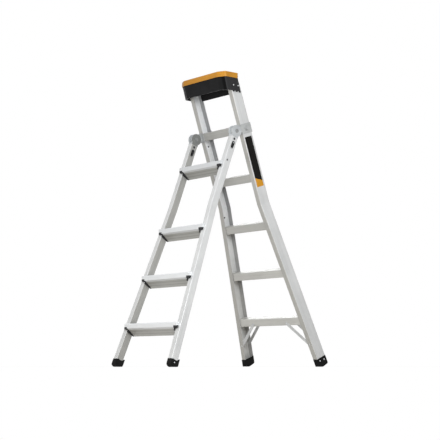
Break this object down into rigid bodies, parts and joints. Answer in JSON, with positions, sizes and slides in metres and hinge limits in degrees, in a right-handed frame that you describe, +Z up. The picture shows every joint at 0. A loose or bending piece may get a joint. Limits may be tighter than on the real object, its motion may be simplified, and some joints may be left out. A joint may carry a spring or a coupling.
{
  "type": "combination ladder",
  "caption": "Folding ladder: a flared rung section with a tool-tray top, and a flared tread section hinged to collars that slide along its rails; converts between step and leaning ladder.",
  "frame": {"origin": "centre of the bounding box over the floor, at floor level", "axes": "+Z up, -Y towards the tread section, +X to the right for a person who faces the treads"},
  "size_m": [0.6722, 1.0524, 1.626],
  "materials": {
    "rail_aluminium": "extruded, satin",
    "rung_aluminium": "extruded, ribbed",
    "tread_aluminium": "extruded, ribbed",
    "brace_steel": "zinc plated",
    "rivet_steel": "zinc plated",
    "pin_steel": "zinc plated",
    "casting_grey": "as cast",
    "foot_rubber": "moulded, matt",
    "cap_black": "moulded, grained",
    "rim_orange": "moulded",
    "end_black": "moulded",
    "liner_plastic": "moulded",
    "slide_black": "moulded",
    "knob_dark": "moulded"
  },
  "bodies": {
    "rear_section": {"rear_rail_left": "rail_aluminium", "rear_rail_right": "rail_aluminium", "rear_rung_1": "rung_aluminium", "rear_rung_2": "rung_aluminium", "rear_rung_3": "rung_aluminium", "rear_rung_4": "rung_aluminium", "rear_rung_5": "rung_aluminium", "brace_front_left": "brace_steel", "brace_front_right": "brace_steel", "brace_rear_left": "brace_steel", "brace_rear_right": "brace_steel", "brace_rivets": "rivet_steel", "rear_foot_rivets": "rivet_steel", "cap_rivets": "rivet_steel", "rear_foot_left": "foot_rubber", "rear_foot_right": "foot_rubber", "top_cap": "cap_black", "cap_rim": "rim_orange"},
    "carriage": {"collar_left": "casting_grey", "collar_right": "casting_grey", "slide_liner_left": "liner_plastic", "slide_liner_right": "liner_plastic", "hinge_pin_left": "pin_steel", "hinge_pin_right": "pin_steel"},
    "lock_left": {"lock_pin_left": "knob_dark"},
    "lock_right": {"lock_pin_right": "knob_dark"},
    "front_section": {"front_rail_left": "rail_aluminium", "front_rail_right": "rail_aluminium", "tread_1": "tread_aluminium", "tread_2": "tread_aluminium", "tread_3": "tread_aluminium", "tread_4": "tread_aluminium", "tread_caps_1": "end_black", "tread_caps_2": "end_black", "tread_caps_3": "end_black", "tread_caps_4": "end_black", "hinge_head_left": "casting_grey", "hinge_head_right": "casting_grey", "head_screws": "rivet_steel", "front_foot_rivets": "rivet_steel", "front_foot_left": "foot_rubber", "front_foot_right": "foot_rubber"},
    "release_left": {"release_slide_left": "slide_black", "stop_bolt_left": "pin_steel"},
    "release_right": {"release_slide_right": "slide_black", "stop_bolt_right": "pin_steel"}
  },
  "joints": [
    {"name": "carriage_slide", "type": "slide", "parent": "rear_section", "child": "carriage", "axis": [0, -0.319, 0.9478], "range_m": [-0.28, 0]},
    {"name": "fold_hinge", "type": "hinge", "parent": "carriage", "child": "front_section", "pos_m": [0, -0.0225, 1.2983], "axis": [1, 0, 0], "range_deg": [0, 39.2]},
    {"name": "lock_pin_push_left", "type": "slide", "parent": "carriage", "child": "lock_left", "axis": [1, 0, 0], "range_m": [0, 0.005]},
    {"name": "lock_pin_push_right", "type": "slide", "parent": "carriage", "child": "lock_right", "axis": [-1, 0, 0], "range_m": [0, 0.005]},
    {"name": "release_pull_left", "type": "slide", "parent": "front_section", "child": "release_left", "axis": [0, 0.3518, 0.9361], "range_m": [-0.01, 0], "stiffness_N_per_m": 400, "springref_m": 0.012},
    {"name": "release_pull_right", "type": "slide", "parent": "front_section", "child": "release_right", "axis": [0, 0.3518, 0.9361], "range_m": [-0.01, 0], "stiffness_N_per_m": 400, "springref_m": 0.012}
  ]
}
